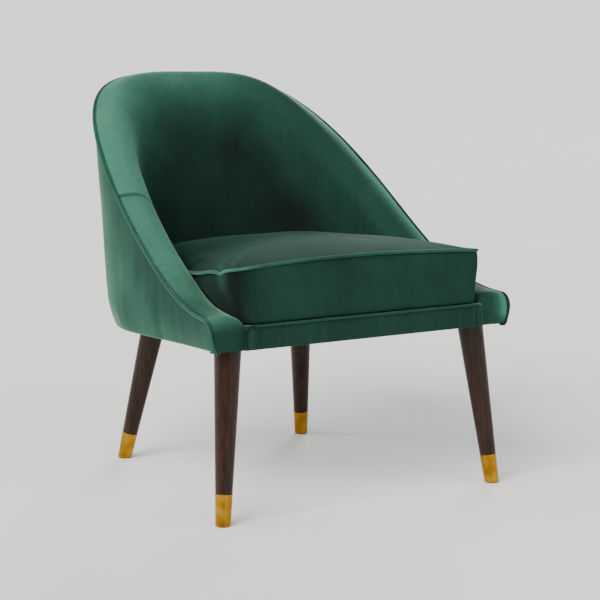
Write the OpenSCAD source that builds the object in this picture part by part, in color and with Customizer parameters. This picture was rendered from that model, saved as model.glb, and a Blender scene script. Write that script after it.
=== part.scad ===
// Upholstered barrel-back dining chair with sloping arms, a loose box seat
// cushion and four splayed round legs in metal ferrules.
//
// Millimetres. +Z up, floor at z = 0, the chair faces -Y, +X is to the right
// of someone looking at its front. The origin is the middle of the chair's
// box on the floor. Every wall layer of the shell is measured inwards from
// one outer surface, so the layers always lie against each other.

/* [Shell outline] */
// Half width of the shell at mid arm
half_width = 311; // [250:1:380]
// Extra half width at the arms' front ends
arm_flare = 11; // [0:1:25]
// Length of the straight arms, front to bend
arm_len = 228; // [180:1:280]
// Depth of the curved back behind the arms
back_depth = 335; // [270:1:410]
// Boxiness of the back corners, 2 is an ellipse
corner_power = 3.4; // [2.4:0.1:5]
// How far the sides lean in per millimetre of height
side_lean = 0.04; // [0:0.01:0.08]
// How far the back leans out per millimetre of height
back_lean = 0.306; // [0.15:0.001:0.4]
// Turn-under of the shell's bottom edge
tuck = 12; // [0:1:18]
// Height over which the bottom edge turns under
tuck_h = 60; // [40:1:80]

/* [Heights] */
// Underside of the shell at the front
base_front_z = 303; // [250:1:370]
// Drop of the underside from front to back
base_drop = 21; // [0:1:40]
// Arm height above the underside at the front
arm_front_h = 54; // [45:1:66]
// Height of the back's top above the front of the arms
back_rise = 399; // [320:1:480]
// Rounded drop of the arm at its front end
nose_len = 22; // [16:1:27]

/* [Wall layers] */
// Wall thickness across the rim at the front
wall_front = 68; // [60:1:82]
// Wall thickness across the rim at the back
wall_back = 77; // [66:1:92]
// Extra wall thickness per millimetre below the rim
wall_grow = 0.05; // [0.045:0.005:0.1]
// Height of the padded rim above the piping
rim_rise = 6; // [3:0.5:9]
// Velvet with its backing
cover_t = 2; // [1:0.1:3]
// Polyester wadding under the outside cover
wadding_t = 5.5; // [3:0.5:7]
// Bent plywood shell
ply_t = 12; // [9:0.5:15]
// Gap kept between neighbouring layers
layer_gap = 0.3; // [0.2:0.05:0.5]
// Radius of the piping round the rim
rim_welt_r = 3; // [2:0.1:4]

/* [Seat frame] */
// Height of the hardwood rails
rail_h = 34; // [28:1:40]
// Thickness of the hardwood rails
rail_t = 22; // [18:1:26]
// Clearance between glued frame pieces
joint_gap = 0.3; // [0.2:0.05:0.5]
// Dowel radius
dowel_r = 4; // [3:0.5:5]
// Dowel fit in its hole
dowel_fit = 0.05; // [0.03:0.01:0.1]
// Elastic webbing width
web_w = 50; // [40:1:60]
// Elastic webbing thickness
web_t = 1.2; // [0.8:0.1:1.6]

/* [Front rail cover] */
// How far the padded rail stands in front of the arms
rail_proud = 6.6; // [4:0.1:9]
// Half length of the covered front rail
rail_half = 251; // [220:1:280]
// Width of the velvet bands at the rail's ends
band_w = 22; // [16:1:30]

/* [Seat cushion] */
// Cushion thickness, bottom panel to top piping
cushion_t = 94; // [76:1:112]
// Crown of the cushion above its top piping
crown = 31; // [14:1:40]
// Front corner rounding
cushion_corner = 32; // [26:1:50]
// How far the cushion's front leans back from bottom to top
cushion_rake = 24; // [0:1:36]
// Rise of the top piping at the middle of the front
cushion_arch = 8; // [0:1:14]
// Play between the cushion and the walls
cushion_play = 2.7; // [1.6:0.1:4]
// Bulge of the cushion's sides above the arms
cushion_bulge = 22; // [8:1:26]
// Radius of the cushion piping
cushion_welt_r = 2.8; // [2:0.1:3.4]

/* [Legs] */
// Front foot, inwards from the shell's half width
front_foot_in = 19.6; // [10:0.1:40]
// Front foot, back from the arms' front face
front_foot_back = 9.1; // [0:0.1:30]
// Front leg lean across per millimetre of height
front_splay_x = 0.1026; // [0.05:0.0001:0.14]
// Front leg lean front to back per millimetre
front_splay_y = 0.1144; // [0.05:0.0001:0.14]
// Rear foot, inwards from the shell's half width
rear_foot_in = 103; // [90:0.1:120]
// Rear foot, forward of the shell's rear base edge
rear_foot_fwd = 7; // [0:0.1:20]
// Rear leg lean across per millimetre of height
rear_splay_x = 0.1422; // [0.1:0.0001:0.16]
// Rear leg lean front to back per millimetre
rear_splay_y = 0.2133; // [0.16:0.0001:0.24]
// Leg radius at the top of the ferrule
leg_r = 15.05; // [12.6:0.05:18]
// Leg radius gained per millimetre of length
leg_taper = 0.0357; // [0.02:0.0001:0.05]
// Ferrule length along the leg
ferrule_len = 54.7; // [40:0.1:70]
// Ferrule radius at the floor
ferrule_r = 13.4; // [11.2:0.1:16]
// Ferrule wall
ferrule_wall = 1.2; // [0.8:0.1:1.6]
// Fit of the leg tip in the ferrule
ferrule_fit = 0.15; // [0.05:0.01:0.3]
// Glide pad thickness under the ferrule
glide_t = 2; // [1:0.5:4]

/* [Hidden] */
$fn = 48;

depth_y = arm_len + back_depth;                     // base length, front to back
front_y = -351 - (depth_y - 563) / 2;
bend_y = front_y + arm_len;
back_y = front_y + depth_y;
base_slope = atan(base_drop / depth_y);
side_part = 0.45;                                   // share of the outline that is arm
nose_low = 0.5;                                     // height share left at the arm's tip
crest_at = 0.45;                                    // crest's place across the rim
shoulder = 30;                                      // drop of the rim's inner shoulder

i_wad = cover_t + layer_gap;
i_ply = i_wad + wadding_t + layer_gap;
i_foam = i_ply + ply_t + 1.2;
i_end = rim_welt_r + layer_gap;                     // covers stop clear of the piping

frame_z = 3;                                        // rails start above the base plane
rail_top = frame_z + rail_h;
web_z = rail_top + 0.2;
deck_z = web_z + 2 * web_t + 0.6;
deck_t = 3.6;
cush_z = deck_z + deck_t + 1.1;                     // underside of the cushion
welt_z = cush_z + cushion_t;                        // its top piping

velvet = [0.16, 0.29, 0.23];
cloth = [0.12, 0.12, 0.12];
foam = [0.86, 0.82, 0.62];
fibre = [0.93, 0.93, 0.90];
hardwood = [0.72, 0.58, 0.40];
plywood = [0.78, 0.64, 0.45];
walnut = [0.17, 0.11, 0.08];
gold = [0.78, 0.60, 0.25];
zinc = [0.75, 0.76, 0.78];
nylon = [0.10, 0.10, 0.10];
elastic = [0.80, 0.76, 0.70];

// ---- outline of the shell: u runs 0..1 from an arm's front to mid back ----
function plan(u) = u < side_part
    ? let (f = u / side_part)
      [half_width + arm_flare * (1 - f) * (1 - f), front_y + arm_len * f]
    : let (t = 90 * (u - side_part) / (1 - side_part))
      [half_width * pow(max(cos(t), 0), 2 / corner_power),
       bend_y + back_depth * pow(sin(t), 2 / corner_power)];
function plan_n(u) = u < side_part
    ? [1, 0]
    : let (t = 90 * (u - side_part) / (1 - side_part), m = corner_power,
           cx = pow(max(cos(t), 0), 2 / m), sy = pow(sin(t), 2 / m))
      unit2([pow(cx, m - 1) / half_width, pow(sy, m - 1) / back_depth]);
function unit2(a) = a / norm(a);
function clip(x) = min(max(x, 0), 1);
function share(y) = clip((y - front_y) / depth_y);
function plane_z(y) = base_front_z - base_drop * (y - front_y) / depth_y;
function base_z(u) = base_front_z - base_drop * share(plan(u)[1]);
function nose(u) = let (e = clip((plan(u)[1] - front_y) / nose_len))
    nose_low + (1 - nose_low) * sqrt(max(0, 1 - (1 - e) * (1 - e)));
// height of the piping: low at the arm's tip, sweeping up to the back
function rim_z(u) = let (q = share(plan(u)[1]), b = base_z(u),
    z = base_front_z + arm_front_h + back_rise * q * q * (0.78 + 1.02 * q - 0.8 * q * q))
    b + (z - b) * nose(u);
function crest_z(u) = rim_z(u) + rim_rise;
function wall(u) = wall_front + (wall_back - wall_front) * share(plan(u)[1]);

// a point of the shell: v -1..1 from left arm tip round the back to the right
// one, height z, inset from the outer surface
function pt(v, z, inset) = let (u = 1 - abs(v), s = v < 0 ? -1 : 1, p = plan(u), n = plan_n(u),
    h = z - base_z(u), k = tuck * pow(clip(1 - h / tuck_h), 2),
    sx = p[0] / half_width, sy = clip((p[1] - bend_y) / back_depth))
    [s * (p[0] - (side_lean * h + k) * sx - inset * n[0]),
     p[1] + (back_lean * h - k) * sy - inset * n[1], z];

// stations: close together round the arm's tip and in the back's corners
tip_u = side_part * nose_len / arm_len;
tip_us = [for (a = [0 : 30 : 89]) tip_u * (1 - cos(a))];
main_us = [for (k = [0 : 15]) tip_u + (1 - tip_u) * k / 16];
half_us = concat(tip_us, main_us);
seam_v = 1 - main_us[8];                            // arm panels meet the back panel
function round_trip(us) = concat([for (u = us) u - 1], [0],
    [for (k = [len(us) - 1 : -1 : 0]) 1 - us[k]]);
all_vs = round_trip(half_us);
cover_us = concat([side_part * (rim_welt_r + 0.5) / arm_len],
    [for (u = half_us) if (u > side_part * (rim_welt_r + 1.5) / arm_len) u]);
in_u = side_part * (nose_len + 2) / arm_len;        // inner layers start behind the tip
in_us = concat([in_u], [for (u = main_us) if (u > in_u + 0.01) u]);
in_vs = round_trip(in_us);
seam_gap = 0.0006;
back_vs = concat([-seam_v], [for (v = in_vs) if (abs(v) < seam_v - 0.01) v], [seam_v]);
left_vs = concat([for (v = in_vs) if (v < -seam_v - 0.012) v], [-seam_v - seam_gap]);
function flip_vs(vs) = [for (k = [len(vs) - 1 : -1 : 0]) -vs[k]];

// a layer's section at one station: inner face, shoulder, crest, to the piping
function bend_share(u) = clip((plan(u)[1] - bend_y) / back_depth);
function level_z(v, up, inset) = let (u = 1 - abs(v))
    plane_z(plan(u)[1] - inset * plan_n(u)[1] + back_lean * up * bend_share(u)) + up;
function inner_i(u, up) = wall(u) + wall_grow * (crest_z(u) - base_z(u) - up);
function floor_z(v) = level_z(v, deck_z + 0.2, inner_i(1 - abs(v), deck_z));
function drop(v) = let (u = 1 - abs(v)) min(shoulder, 0.8 * (crest_z(u) - floor_z(v)));
function wall_at(v, z) = let (u = 1 - abs(v)) wall(u) + wall_grow * max(crest_z(u) - z, 0);
// heights up a wall: the base's tuck ends at one of them
function wall_zs(v, z0, z1) = let (a = min(base_z(1 - abs(v)) + 62, z0 + (z1 - z0) / 3))
    [z0, a, a + (z1 - a) * 0.5];
function section(v, off) = let (u = 1 - abs(v), c = crest_z(u), zs = c - drop(v),
    z0 = floor_z(v), ic = crest_at * wall(u), a = wall_at(v, zs) - ic, b = c - zs)
    concat([for (z = wall_zs(v, z0, zs)) pt(v, z, wall_at(v, z) - off)],
        [for (t = [90, 60, 30, 0]) pt(v, zs + (b - off) * cos(t), ic + (a - off) * sin(t))],
        [for (t = [45, 90]) pt(v, c - off - (rim_rise - 1) * (1 - cos(t)),
            ic - (ic - i_end) * sin(t))]);
// underside of the foam: up the plywood and over its top edge
function ply_top(v) = rim_z(1 - abs(v)) - 12;
function foam_under(v) = let (z0 = level_z(v, deck_z + 0.2, i_foam), b = base_z(1 - abs(v)),
    z1 = max(ply_top(v) + 1.4, z0 + 0.6))
    concat([for (z = [z0, min(b + 45, z0 + (z1 - z0) / 3), min(b + 62, z0 + (z1 - z0) * 2 / 3), z1])
            pt(v, z, i_foam)],
        [for (f = [0.2, 0.4, 0.6, 0.8, 1]) pt(v, z1, i_foam + (i_end - i_foam) * f)]);
// heights shared by all the outer layers, so their facets stay parallel
levels = [0, 9, 19, 31, 45, 62, 999];
function straight(v, inset, lo, hi) = let (u = 1 - abs(v), z0 = base_z(u), h = rim_z(u) - z0 - hi)
    [for (k = [0 : 6]) pt(v, z0 + max(lo + 0.6 * k, min(levels[k], h * k / 6)) * (k < 6 ? 1 : 0)
        + (k < 6 ? 0 : h), inset)];
// the piping's slope, which sets how far below its centre a cover's edge stops
function rim_slope(u) = let (a = max(u - 0.004, 0), b = min(u + 0.004, 1))
    (rim_z(b) - rim_z(a)) / max(norm(plan(b) - plan(a)), 0.01);
function edge_gap(v) = let (m = rim_slope(1 - abs(v))) i_end * sqrt(1 + m * m);

function quad(a, b, c, d) = [[a, b, c], [a, c, d]];
// solid between two runs of points at every station, outer run first
module strip(A, B) {
    n = len(A);
    m = len(A[0]);
    o = n * m;
    polyhedron(points = concat([for (s = A) each s], [for (s = B) each s]), faces = [
        for (i = [0 : n - 2], j = [0 : m - 2]) each quad(i * m + j, (i + 1) * m + j,
            (i + 1) * m + j + 1, i * m + j + 1),
        for (i = [0 : n - 2], j = [0 : m - 2]) each quad(o + i * m + j, o + i * m + j + 1,
            o + (i + 1) * m + j + 1, o + (i + 1) * m + j),
        for (i = [0 : n - 2]) each quad(i * m, o + i * m, o + (i + 1) * m, (i + 1) * m),
        for (i = [0 : n - 2]) each quad(i * m + m - 1, (i + 1) * m + m - 1,
            o + (i + 1) * m + m - 1, o + i * m + m - 1),
        for (j = [0 : m - 2]) each quad(j, j + 1, o + j + 1, o + j),
        for (j = [0 : m - 2]) each quad((n - 1) * m + j, o + (n - 1) * m + j,
            o + (n - 1) * m + j + 1, (n - 1) * m + j + 1)]);
}
// solid stack of rings with a centre point at each end
module stack(R) {
    n = len(R);
    m = len(R[0]);
    polyhedron(points = concat([for (r = R) each r], [middle(R[0]), middle(R[n - 1])]), faces = [
        for (i = [0 : n - 2], j = [0 : m - 1]) each quad(i * m + j, i * m + (j + 1) % m,
            (i + 1) * m + (j + 1) % m, (i + 1) * m + j),
        for (j = [0 : m - 1]) [n * m, (j + 1) % m, j],
        for (j = [0 : m - 1]) [n * m + 1, (n - 1) * m + j, (n - 1) * m + (j + 1) % m]]);
}
function middle(r) = [for (k = [0 : 2]) (min([for (p = r) p[k]]) + max([for (p = r) p[k]])) / 2];
// thin wall between outer rings and inner rings; capped joins the last rings
// to centre points, as a crowned panel
module skin(O, I, capped) {
    n = len(O);
    m = len(O[0]);
    o = n * m;
    polyhedron(points = concat([for (r = O) each r], [for (r = I) each r],
        [middle(O[n - 1]), middle(I[n - 1])]), faces = [
        for (i = [0 : n - 2], j = [0 : m - 1]) each quad(i * m + j, i * m + (j + 1) % m,
            (i + 1) * m + (j + 1) % m, (i + 1) * m + j),
        for (i = [0 : n - 2], j = [0 : m - 1]) each quad(o + i * m + j, o + (i + 1) * m + j,
            o + (i + 1) * m + (j + 1) % m, o + i * m + (j + 1) % m),
        for (j = [0 : m - 1]) each quad(j, o + j, o + (j + 1) % m, (j + 1) % m),
        if (capped) for (j = [0 : m - 1]) [2 * o, (n - 1) * m + j, (n - 1) * m + (j + 1) % m],
        if (capped) for (j = [0 : m - 1]) [2 * o + 1, o + (n - 1) * m + (j + 1) % m,
            o + (n - 1) * m + j],
        if (!capped) for (j = [0 : m - 1]) each quad((n - 1) * m + j, (n - 1) * m + (j + 1) % m,
            o + (n - 1) * m + (j + 1) % m, o + (n - 1) * m + j)]);
}
// round cord along a path; out holds the sideways direction at each point
module cord(path, out, r, closed) {
    n = len(path);
    k = 6;
    function at(i) = let (a = closed ? (i + n - 1) % n : max(i - 1, 0),
        b = closed ? (i + 1) % n : min(i + 1, n - 1), t = path[b] - path[a],
        w = cross(t, out[i]), wn = w / norm(w), o2 = cross(wn, t), on = o2 / norm(o2))
        [for (j = [0 : k - 1]) path[i] + r * (cos(60 * j) * on + sin(60 * j) * wn)];
    polyhedron(points = [for (i = [0 : n - 1]) each at(i)], faces = concat(
        [for (i = [0 : n - (closed ? 1 : 2)], j = [0 : k - 1]) each quad(i * k + j,
            ((i + 1) % n) * k + j, ((i + 1) % n) * k + (j + 1) % k, i * k + (j + 1) % k)],
        closed ? [] : [[for (j = [0 : k - 1]) j],
            [for (j = [k - 1 : -1 : 0]) (n - 1) * k + j]]));
}

// the tilted plane the seat is built on: y from the front, z above the plane
module seat_plane() translate([0, front_y, base_front_z]) rotate([-base_slope, 0, 0]) children();

// ---- legs ----
front_foot = [half_width - front_foot_in, front_y + front_foot_back, 0];
rear_foot = [half_width - rear_foot_in, back_y - rear_foot_fwd, 0];
front_dir = [-front_splay_x, front_splay_y, 1];
rear_dir = [-rear_splay_x, -rear_splay_y, 1];
// lays +Z along a leg's axis, origin at its foot
module on_axis(foot, d) translate(foot)
    rotate([0, 0, atan2(d[1], d[0])]) rotate([0, acos(1 / norm(d)), 0]) children();
function top_t(foot, d) = let (z0 = base_front_z - base_drop * (foot[1] - front_y) / depth_y)
    (z0 + frame_z) / (1 + d[1] * base_drop / depth_y) * norm(d);
module seat_cut() seat_plane() translate([-900, -400, frame_z - 0.2]) cube([1800, 1800, 900]);
module leg(foot, d) color(walnut) {
    t = top_t(foot, d);
    difference() {
        on_axis(foot, d) {
            translate([0, 0, ferrule_len + 0.4]) cylinder(h = t - ferrule_len + 20, r1 = leg_r,
                r2 = leg_r + leg_taper * (t - ferrule_len + 20));
            translate([0, 0, 8]) cylinder(h = ferrule_len - 7, r1 = ferrule_r - ferrule_wall -
                ferrule_fit, r2 = leg_r - ferrule_wall - ferrule_fit);
        }
        seat_cut();
        on_axis(foot, d) translate([0, 0, t - 34]) cylinder(h = 60, r = bolt_r + 0.1);
        translate([foot[0], foot[1], 0]) cylinder(h = 18, r = glide_pin_r + 0.1);
    }
}
bolt_r = 4;
glide_pin_r = 2.5;
module ferrule(foot, d) color(gold) difference() {
    on_axis(foot, d) translate([0, 0, -12]) cylinder(h = ferrule_len + 12,
        r1 = ferrule_r - 12 * (leg_r + 0.3 - ferrule_r) / ferrule_len, r2 = leg_r + 0.3);
    on_axis(foot, d) translate([0, 0, 7.5]) cylinder(h = ferrule_len,
        r1 = ferrule_r - ferrule_wall + 7.5 * (leg_r - ferrule_r) / ferrule_len,
        r2 = leg_r - ferrule_wall + 7.5 * (leg_r - ferrule_r) / ferrule_len);
    translate([foot[0] - 60, foot[1] - 60, glide_t - 60]) cube([120, 120, 60]);
    translate([foot[0], foot[1], -5]) cylinder(h = 30, r = glide_pin_r + 0.1);
}
module both() {
    children();
    mirror([1, 0, 0]) children();
}
module leg_front_right() leg(front_foot, front_dir);
module leg_front_left() mirror([1, 0, 0]) leg(front_foot, front_dir);
module leg_rear_right() leg(rear_foot, rear_dir);
module leg_rear_left() mirror([1, 0, 0]) leg(rear_foot, rear_dir);
module ferrule_front_right() ferrule(front_foot, front_dir);
module ferrule_front_left() mirror([1, 0, 0]) ferrule(front_foot, front_dir);
module ferrule_rear_right() ferrule(rear_foot, rear_dir);
module ferrule_rear_left() mirror([1, 0, 0]) ferrule(rear_foot, rear_dir);
module glides() color(nylon) both() for (f = [front_foot, rear_foot]) translate(f) {
    cylinder(h = glide_t - 0.1, r = ferrule_r - 2.4);
    cylinder(h = 15, r = glide_pin_r);
}
nut_drop = 8;                                       // nut flange below the block's top
module hanger_bolts() color(zinc) both() for (l = [[front_foot, front_dir], [rear_foot, rear_dir]])
    on_axis(l[0], l[1]) translate([0, 0, top_t(l[0], l[1]) - 32])
        cylinder(h = 32 + rail_h - nut_drop, r = bolt_r);
module nut_at(l, r, lift, h) on_axis(l[0], l[1])
    translate([0, 0, top_t(l[0], l[1]) + rail_h - nut_drop + lift]) cylinder(h = h, r = r);
module t_nuts() color(zinc) both() for (l = [[front_foot, front_dir], [rear_foot, rear_dir]])
    difference() {
        union() {
            nut_at(l, bolt_r + 1.4, -10, 10.5);
            nut_at(l, 10, 0, 1.6);
        }
        nut_at(l, bolt_r + 0.1, -20, 40);
    }

// ---- hardwood seat frame, in the seat plane ----
block_in = rail_half - 30;                          // front blocks' inner side
block_out = half_width - 31;
block_y0 = 6;
block_y1 = 84;
side_out = half_width - 43;                         // side rails' outer side
rear_y = depth_y - 41;                              // rear rail's outer side
rear_half = 120;
rear_block = [[rear_half, rear_y - 54], [rear_half, rear_y],
    [half_width - 127, rear_y - 10], [half_width - 89, rear_y - 42],
    [half_width - 65, rear_y - 78], [side_out - 3, rear_y - 120], [side_out - 3, rear_y - 150],
    [side_out - 3 - rail_t, rear_y - 150], [side_out - 14 - rail_t, rear_y - 96]];
module slab(x0, x1, y0, y1) translate([x0, y0, frame_z]) cube([x1 - x0, y1 - y0, rail_h]);
module dowel_set(r) seat_plane() both() for (z = [frame_z + 0.3 * rail_h, frame_z + 0.7 * rail_h]) {
    translate([block_in - 15, block_y0 + rail_t / 2, z]) rotate([0, 90, 0]) cylinder(h = 30, r = r);
    translate([rear_half - 15, rear_y - rail_t / 2, z]) rotate([0, 90, 0]) cylinder(h = 30, r = r);
    translate([side_out - rail_t / 2, block_y1 + 15, z]) rotate([90, 0, 0]) cylinder(h = 30, r = r);
    translate([side_out - 3 - rail_t / 2, rear_y - 135, z]) rotate([90, 0, 0]) cylinder(h = 30, r = r);
}
module dowels() color(hardwood) dowel_set(dowel_r);
module framed() color(hardwood) difference() {
    seat_plane() children();
    dowel_set(dowel_r + dowel_fit);
}
module front_rail() framed() slab(-block_in + joint_gap, block_in - joint_gap,
    block_y0, block_y0 + rail_t);
module rear_rail() framed() slab(-rear_half + joint_gap, rear_half - joint_gap,
    rear_y - rail_t, rear_y);
module right_rail() framed() slab(side_out - rail_t, side_out - 1,
    block_y1 + joint_gap, rear_y - 150 - joint_gap);
module left_rail() mirror([1, 0, 0]) right_rail();
module bolt_hole(l) {
    on_axis(l[0], l[1]) translate([0, 0, top_t(l[0], l[1]) - 30]) cylinder(h = 90, r = bolt_r + 1.6);
    nut_at(l, 10.5, -0.3, 40);
}
module block_front_right() difference() {
    framed() slab(block_in, block_out, block_y0, block_y1);
    bolt_hole([front_foot, front_dir]);
}
module block_front_left() mirror([1, 0, 0]) block_front_right();
module block_rear_right() difference() {
    framed() translate([0, 0, frame_z]) linear_extrude(rail_h) polygon(rear_block);
    bolt_hole([rear_foot, rear_dir]);
}
module block_rear_left() mirror([1, 0, 0]) block_rear_right();

module webbing_long() color(elastic) seat_plane() for (k = [-2 : 2])
    translate([k * 88 - web_w / 2, block_y0 + 2, web_z])
        cube([web_w, (abs(k) < 2 ? rear_y : rear_y - 24) - block_y0 - 4, web_t]);
module webbing_cross() color(elastic) seat_plane() for (k = [0 : 3])
    translate([-side_out + 4, 92 + k * 84, web_z + web_t + 0.2]) cube([2 * side_out - 8, web_w, web_t]);

// outline of the seat well at the deck, as seat-plane coordinates
function well(inset) = [for (v = in_vs) let (p = pt(v, floor_z(v), wall_at(v, floor_z(v)) + inset))
    [p[0], p[1] - front_y]];
module seat_deck() color(cloth) seat_plane() translate([0, 0, deck_z + 0.2]) linear_extrude(deck_t)
    polygon(concat([[-rail_half + 4, 12]], well(3), [[rail_half - 4, 12]]));
module dust_cover() color(cloth) difference() {
    seat_plane() translate([0, 0, 1.2]) linear_extrude(0.8) polygon(concat(
        [[-rail_half, 8]], [for (v = in_vs) let (p = pt(v, base_z(1 - abs(v)), 6))
            [p[0], p[1] - front_y]], [[rail_half, 8]]));
    both() for (l = [[front_foot, front_dir], [rear_foot, rear_dir]])
        on_axis(l[0], l[1]) translate([0, 0, 200]) cylinder(h = 200,
            r = leg_r + leg_taper * (top_t(l[0], l[1]) - ferrule_len) + 1.2);
}

// ---- shell layers ----
module layer(vs, i0, i1, lo, hi) strip([for (v = vs) straight(v, i0, lo, hi)],
    [for (v = vs) straight(v, i1, lo, hi)]);
module cover_outside() color(velvet) strip(
    [for (v = round_trip(cover_us)) straight(v, 0, 0, edge_gap(v))],
    [for (v = round_trip(cover_us)) straight(v, cover_t, 0, edge_gap(v))]);
module wadding() color(fibre) layer(in_vs, i_wad, i_wad + wadding_t, 4, 12);
module ply_shell() color(plywood) layer(in_vs, i_ply, i_ply + ply_t, 6, 12);
module pad(vs) color(foam) strip([for (v = vs) foam_under(v)],
    [for (v = vs) section(v, cover_t + layer_gap)]);
module foam_back() pad(back_vs);
module foam_arm_left() pad(left_vs);
module foam_arm_right() pad(flip_vs(left_vs));
module lining(vs) color(velvet) strip([for (v = vs) section(v, cover_t)],
    [for (v = vs) section(v, 0)]);
module cover_inside_back() lining(back_vs);
module cover_arm_left() lining(left_vs);
module cover_arm_right() lining(flip_vs(left_vs));

// rounded, padded tip of each arm in front of the rim layers
tip_ys = [0, 4.6, 5.4, 12, nose_len + 1.4];
tip_top = [[0, -3.6], [0.2, 2.5], [0.5, 5], [0.8, 2], [1, -4.5]];
function tip_row(y, z) = let (v = side_part * y / arm_len - 1)
    [for (a = [0, 0.2, 0.5, 0.8, 1]) let (o = pt(v, z, i_end + 0.2))
        [o[0] + (-rail_half - 1 - o[0]) * a, o[1], z]];
module arm_tip_left() color(velvet) strip(
    [for (y = tip_ys) let (z = rim_z(side_part * y / arm_len))
        [for (k = [0 : 4]) let (r = tip_row(y, z + tip_top[k][1])) r[k]]],
    [for (y = tip_ys) tip_row(y, plane_z(front_y + y) + (y < 5 ? 1.4 : rail_top + 0.4))]);
module arm_tip_right() mirror([1, 0, 0]) arm_tip_left();

function out_dir(v) = let (n = plan_n(1 - abs(v))) [v < 0 ? -n[0] : n[0], n[1], 0];
rim_path = concat([pt(-1, base_z(0) - 1, 0)], [for (v = all_vs) pt(v, rim_z(1 - abs(v)), 0)],
    [pt(1, base_z(0) - 1, 0)]);
rim_out = concat([[-1, 0, 0]], [for (v = all_vs) out_dir(v)], [[1, 0, 0]]);
module rim_piping() color(velvet) cord(rim_path, rim_out, rim_welt_r, false);

// ---- padded front rail ----
module rail_profile(x0, x1, t, out, back) seat_plane() translate([x0, 0, 0]) rotate([90, 0, 90])
    linear_extrude(x1 - x0) polygon([[-rail_proud - out, 0], [-rail_proud - out, deck_z + t + out],
        [back, deck_z + t + out], [back, deck_z + out], [-rail_proud + t - out, deck_z + out],
        [-rail_proud + t - out, 0]]);
module rail_foam() color(foam) seat_plane() translate([-rail_half + 1, -rail_proud + cover_t +
    layer_gap, frame_z]) cube([2 * rail_half - 2, rail_proud - cover_t - layer_gap + block_y0 - 0.3,
    deck_z - frame_z - 0.3]);
module rail_cover() color(velvet) rail_profile(-rail_half, rail_half, cover_t, 0, 10);
module end_band_right() color(velvet) seat_plane() translate([rail_half - band_w,
    -rail_proud - 1.6, 1]) cube([band_w - 4.4, 1.4, deck_z - 2.6]);
module end_band_left() mirror([1, 0, 0]) end_band_right();
module rail_piping() color(velvet) seat_plane() {
    translate([-rail_half + 2.4, -rail_proud - 2.2, deck_z + 1]) rotate([0, 90, 0])
        cylinder(h = 2 * rail_half - 4.8, r = 2);
    both() translate([rail_half - 2.2, -rail_proud - 2.2, 1]) cylinder(h = deck_z, r = 2);
    both() translate([rail_half - 2.2, -rail_proud - 2.2, deck_z + 1]) sphere(r = 2);
}

// ---- loose box cushion ----
// a point of its side at height zp over the seat plane
function cush_side(v, zp, inset) = let (u = 1 - abs(v), z = level_z(v, zp, inner_i(u, zp)),
    bulge = cushion_bulge * clip((z - crest_z(u)) / 50))
    pt(v, z, wall_at(v, z) + cushion_play - bulge + inset);
cush_u = side_part * cushion_corner / arm_len;
cush_us = concat([cush_u], [for (u = main_us) if (u > cush_u + 0.012) u]);
function cush_ring(zp, inset) = let (side = [for (v = round_trip(cush_us)) cush_side(v, zp, inset)],
    a = side[0], r = cushion_corner - inset, s = clip((zp - cush_z) / cushion_t),
    y1 = front_y - 4 + inset + cushion_rake * s, fat = 5 * sin(180 * s) + 3 * s,
    tip = [for (t = [67.5, 45, 22.5]) [a[0] + 0.75 * r * (1 - sin(t)), a[1] - (a[1] - y1) * cos(t),
        a[2] + 1.5 * cos(t)]],
    front = [for (f = [1, 0.55, 0, -0.55, -1]) [-f * (a[0] + 0.75 * r), y1 - fat * (1 - f * f),
        a[2] + 1.5 + cushion_arch * s * (1 - f * f)]])
    concat([for (k = [2 : -1 : 0]) tip[k]], side,
        [for (p = tip) [-p[0], p[1], p[2]]], [for (k = [0 : 4]) front[k]]);
function dome(off, inset, f) = let (r = cush_ring(welt_z, inset), c = middle(r))
    [for (p = r) [c[0] + (p[0] - c[0]) * f, c[1] + (p[1] - c[1]) * f,
        p[2] * f + c[2] * (1 - f) + crown * (1 - pow(f, 3.2)) - off]];
dome_fs = [1, 0.93, 0.8, 0.55, 0.25];
cw = cushion_welt_r + layer_gap;
welt_in = cushion_welt_r - 1;                       // piping's centre, inside the boxing line
cp = cw + welt_in;                                  // panels stop clear of the piping
box_zs = [cush_z + 3.6 + cw, cush_z + 0.35 * cushion_t, cush_z + 0.68 * cushion_t, welt_z - cw];
module cushion_top() color(velvet) skin([for (f = dome_fs) dome(0, cp, f)],
    [for (f = dome_fs) dome(cover_t, cp, f)], true);
module cushion_boxing() color(velvet) skin([for (z = box_zs) cush_ring(z, 0)],
    [for (z = box_zs) cush_ring(z, cover_t)], false);
module cushion_core() color(foam) {
    e = cover_t + layer_gap;
    stack(concat([cush_ring(cush_z + 2.2, cp + 3)],
        [for (k = [0 : 3]) cush_ring(box_zs[k], k % 3 == 0 ? e + 1.2 : e)],
        [for (f = dome_fs) dome(e, cp + 1.2, f)]));
}
module cushion_bottom() color(velvet) stack([cush_ring(cush_z, cp), cush_ring(cush_z + 1.8, cp)]);
function ring_out(r) = let (m = len(r)) [for (i = [0 : m - 1])
    let (t = r[(i + 1) % m] - r[(i + m - 1) % m]) [-t[1], t[0], 0] / norm([t[0], t[1], 0])];
module cushion_piping_top() color(velvet) {
    r = cush_ring(welt_z, welt_in);
    cord(r, ring_out(r), cushion_welt_r, true);
}
module cushion_piping_bottom() color(velvet) {
    r = cush_ring(cush_z + 3.6, welt_in);
    cord(r, ring_out(r), cushion_welt_r, true);
}
// zip along the back of the boxing
zip_vs = [for (v = in_vs) if (abs(v) < 0.3) v];
module cushion_zip() color(cloth) strip(
    [for (v = zip_vs) [for (z = [-6, 6]) cush_side(v, cush_z + cushion_t * 0.35 + z, -1.2)]],
    [for (v = zip_vs) [for (z = [-6, 6]) cush_side(v, cush_z + cushion_t * 0.35 + z, -0.3)]]);

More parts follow.
